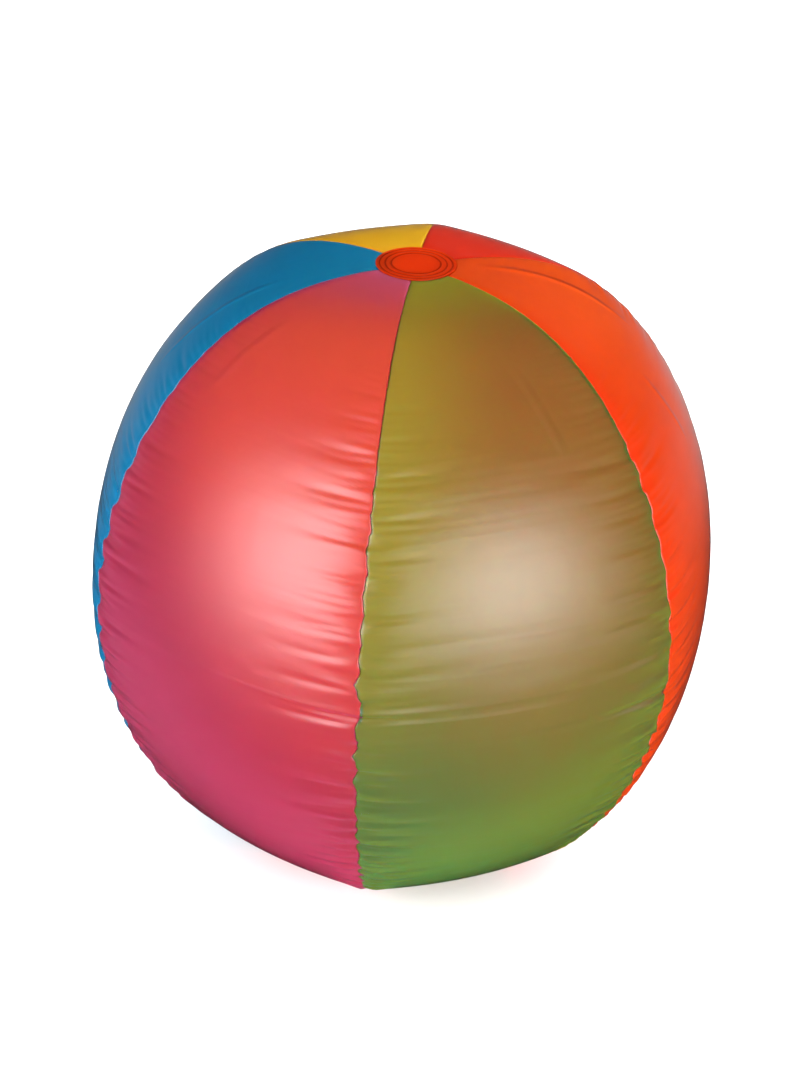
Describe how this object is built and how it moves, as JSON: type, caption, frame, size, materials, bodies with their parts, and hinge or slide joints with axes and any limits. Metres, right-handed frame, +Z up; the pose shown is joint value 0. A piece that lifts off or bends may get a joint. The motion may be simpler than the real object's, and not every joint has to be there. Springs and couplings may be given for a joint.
{
  "type": "inflatable beach ball",
  "caption": "Blown-up ball of boat-shaped translucent vinyl panels welded edge to edge, with round end caps and a push-in air valve with a tethered stopper.",
  "frame": {"origin": "the ball's centre, midway between the two end caps", "axes": "+Z up through the upper end cap, +Y out through the air valve in the middle of the yellow panel, +X along the seam between the orange and red panels"},
  "size_m": [0.396, 0.3746, 0.3924],
  "materials": {
    "vinyl_orange": "satin translucent soft vinyl film",
    "vinyl_red": "satin translucent soft vinyl film",
    "vinyl_yellow": "satin translucent soft vinyl film",
    "vinyl_blue": "satin translucent soft vinyl film",
    "vinyl_pink": "satin translucent soft vinyl film",
    "vinyl_green": "satin translucent soft vinyl film",
    "vinyl_cap": "satin translucent soft vinyl sheet with embossed weld rings",
    "vinyl_clear": "clear moulded soft vinyl"
  },
  "bodies": {
    "ball": {"panel_orange": "vinyl_orange", "panel_red": "vinyl_red", "panel_yellow": "vinyl_yellow", "panel_blue": "vinyl_blue", "panel_pink": "vinyl_pink", "panel_green": "vinyl_green", "top_cap": "vinyl_cap", "bottom_cap": "vinyl_cap", "valve_base": "vinyl_clear", "valve_web": "vinyl_clear"},
    "stem": {"valve_stem": "vinyl_clear", "plug_strap": "vinyl_clear"},
    "plug": {"valve_plug": "vinyl_clear"},
    "flap": {"check_flap": "vinyl_clear"}
  },
  "joints": [
    {"name": "valve_slide", "type": "slide", "parent": "ball", "child": "stem", "axis": [0, 1, 0], "range_m": [0, 0.015]},
    {"name": "plug_pull", "type": "slide", "parent": "stem", "child": "plug", "axis": [0, 1, 0], "range_m": [0, 0.009]},
    {"name": "flap_hinge", "type": "hinge", "parent": "stem", "child": "flap", "pos_m": [0, 0.16496, 0.0045], "axis": [-1, 0, 0], "range_deg": [0, 50], "stiffness_Nm_per_rad": 0.00002}
  ]
}
